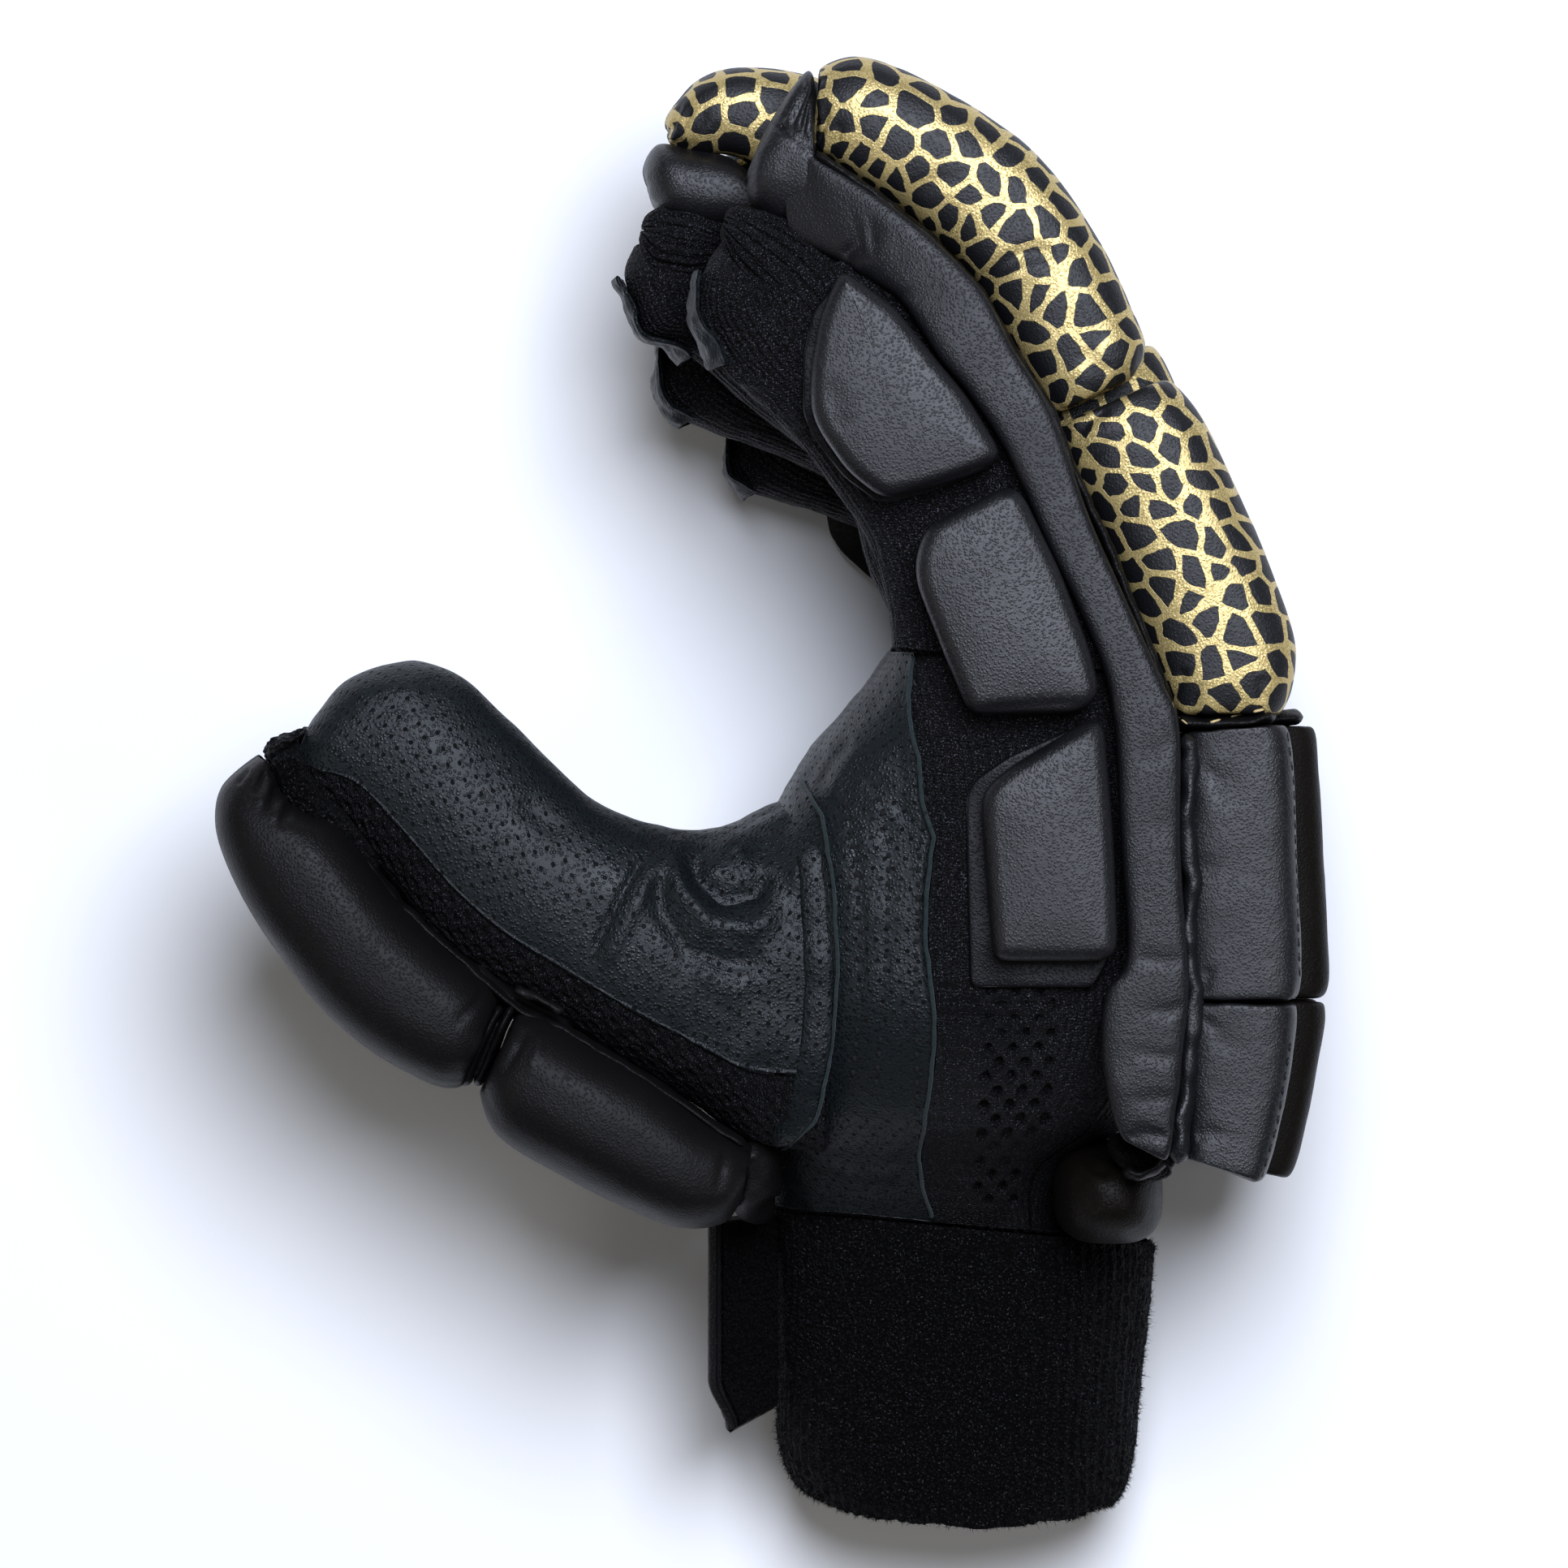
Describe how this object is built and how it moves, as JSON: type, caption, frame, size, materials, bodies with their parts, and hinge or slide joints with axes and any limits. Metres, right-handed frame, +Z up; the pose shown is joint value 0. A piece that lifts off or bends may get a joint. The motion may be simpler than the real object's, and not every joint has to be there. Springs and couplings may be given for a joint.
{
  "type": "cricket batting glove",
  "caption": "Right-hand cricket batting glove with padded finger rolls, printed gold and black, side pads, leather palm, mesh stalls and a knitted wristband.",
  "frame": {"origin": "middle of the glove's footprint, on the surface that it lies on", "axes": "+X to the back of the hand, +Y from the wristband to the finger tips, +Z up, to the index and thumb side"},
  "size_m": [0.2208, 0.2934, 0.1112],
  "materials": {
    "gold_print": "satin",
    "black_leather": "satin",
    "palm_leather": "satin",
    "black_mesh": "matte",
    "towelling": "matte"
  },
  "bodies": {
    "root": {"back_liner": "black_mesh", "cuff": "towelling", "heel_roll": "black_leather", "index_back_pad_lower": "black_leather", "index_back_pad_upper": "black_leather", "index_distal_roll": "gold_print", "index_proximal_roll": "gold_print", "index_side_backing_hand": "black_leather", "index_side_backing_tip": "black_leather", "index_side_bar": "black_leather", "index_side_pad_hand": "black_leather", "index_side_pad_middle": "black_leather", "index_side_pad_tip": "black_leather", "index_stall": "black_mesh", "index_tip_cap": "black_leather", "index_tip_leather": "palm_leather", "little_back_pad_lower": "black_leather", "little_back_pad_upper": "black_leather", "little_distal_roll": "gold_print", "little_proximal_roll": "gold_print", "little_side_backing_hand": "black_leather", "little_side_backing_tip": "black_leather", "little_side_bar": "black_leather", "little_side_pad_hand": "black_leather", "little_side_pad_middle": "black_leather", "little_side_pad_tip": "black_leather", "little_stall": "black_mesh", "little_tip_cap": "black_leather", "little_tip_leather": "palm_leather", "middle_back_pad_lower": "black_leather", "middle_back_pad_upper": "black_leather", "middle_distal_roll": "gold_print", "middle_proximal_roll": "gold_print", "middle_stall": "black_mesh", "middle_tip_cap": "black_leather", "middle_tip_leather": "palm_leather", "palm_leather": "palm_leather", "radial_mesh": "black_mesh", "ring_back_pad_lower": "black_leather", "ring_back_pad_upper": "black_leather", "ring_distal_roll": "gold_print", "ring_proximal_roll": "gold_print", "ring_stall": "black_mesh", "ring_tip_cap": "black_leather", "ring_tip_leather": "palm_leather", "thumb_distal_pad": "black_leather", "thumb_knit_end": "towelling", "thumb_leather": "palm_leather", "thumb_mesh": "black_mesh", "thumb_proximal_pad": "black_leather", "ulnar_mesh": "black_mesh", "wrist_strap": "black_leather"}
  },
  "joints": []
}
